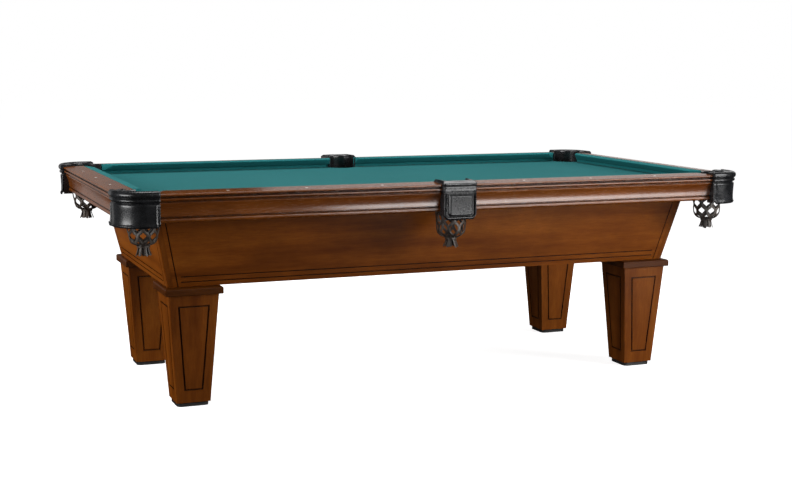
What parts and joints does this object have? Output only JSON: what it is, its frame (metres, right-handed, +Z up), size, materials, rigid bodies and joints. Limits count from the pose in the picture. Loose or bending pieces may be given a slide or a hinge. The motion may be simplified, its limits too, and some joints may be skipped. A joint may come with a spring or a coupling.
{
  "type": "pool table",
  "caption": "Slate-bed pool table with tapered square legs, sloping oak cabinet, moulded rails, teal cloth and leather drop pockets with net bags.",
  "frame": {"origin": "on the floor under the middle of the table, at the underside of the leveller feet", "axes": "+X along the table's length to its right-hand end, +Y across it from the near side to the far side, +Z up"},
  "size_m": [2.4872, 1.4016, 0.812],
  "materials": {
    "leg_oak": "stained oak, satin varnish",
    "cap_oak": "dark stained oak, satin varnish",
    "apron_oak": "stained quarter-sawn oak, satin varnish",
    "rail_oak": "stained oak, polished varnish",
    "hidden_timber": "plain sawn timber",
    "foot_steel": "black paint, satin",
    "zinc_steel": "zinc-plated steel",
    "brass": "turned brass",
    "slate": "honed slate",
    "bed_cloth": "teal napped wool cloth",
    "cushion_rubber": "gum rubber covered in teal wool cloth",
    "pearl": "pearl inlay, polished",
    "pocket_leather": "black leather, glossy",
    "iron": "rough casting",
    "net_leather": "dark brown-black leather webbing"
  },
  "bodies": {
    "table": {"leg_front_left": "leg_oak", "leg_front_right": "leg_oak", "leg_rear_left": "leg_oak", "leg_rear_right": "leg_oak", "leg_caps": "cap_oak", "leg_blocks": "hidden_timber", "leveller_bushes": "zinc_steel", "leg_plates": "zinc_steel", "leg_bolts": "zinc_steel", "apron_front": "apron_oak", "apron_rear": "apron_oak", "apron_left": "apron_oak", "apron_right": "apron_oak", "corner_posts": "apron_oak", "corner_blocks": "hidden_timber", "side_beam_front": "hidden_timber", "side_beam_rear": "hidden_timber", "end_beam_left": "hidden_timber", "end_beam_right": "hidden_timber", "cross_beams": "hidden_timber", "centre_beams": "hidden_timber", "slate_left": "slate", "slate_centre": "slate", "slate_right": "slate", "slate_liners": "hidden_timber", "slate_screws": "zinc_steel", "slate_dowels": "brass", "bed_cloth": "bed_cloth", "rail_front_left": "rail_oak", "rail_front_right": "rail_oak", "rail_rear_left": "rail_oak", "rail_rear_right": "rail_oak", "rail_left": "rail_oak", "rail_right": "rail_oak", "cushion_front_left": "cushion_rubber", "cushion_front_right": "cushion_rubber", "cushion_rear_left": "cushion_rubber", "cushion_rear_right": "cushion_rubber", "cushion_left": "cushion_rubber", "cushion_right": "cushion_rubber", "rail_sights": "pearl", "rail_bolts": "zinc_steel", "pocket_cover_front_left": "pocket_leather", "pocket_cover_front_right": "pocket_leather", "pocket_cover_rear_left": "pocket_leather", "pocket_cover_rear_right": "pocket_leather", "pocket_cover_front": "pocket_leather", "pocket_cover_rear": "pocket_leather", "pocket_irons": "iron", "iron_bolts": "zinc_steel", "net_front_left": "net_leather", "net_front_right": "net_leather", "net_rear_left": "net_leather", "net_rear_right": "net_leather", "net_front": "net_leather", "net_rear": "net_leather"},
    "leveller_front_left": {"leveller_front_left": "foot_steel"},
    "leveller_front_right": {"leveller_front_right": "foot_steel"},
    "leveller_rear_left": {"leveller_rear_left": "foot_steel"},
    "leveller_rear_right": {"leveller_rear_right": "foot_steel"}
  },
  "joints": [
    {"name": "leveller_front_left_screw", "type": "slide", "parent": "table", "child": "leveller_front_left", "axis": [0, 0, -1], "range_m": [0, 0.02]},
    {"name": "leveller_front_right_screw", "type": "slide", "parent": "table", "child": "leveller_front_right", "axis": [0, 0, -1], "range_m": [0, 0.02]},
    {"name": "leveller_rear_left_screw", "type": "slide", "parent": "table", "child": "leveller_rear_left", "axis": [0, 0, -1], "range_m": [0, 0.02]},
    {"name": "leveller_rear_right_screw", "type": "slide", "parent": "table", "child": "leveller_rear_right", "axis": [0, 0, -1], "range_m": [0, 0.02]}
  ]
}
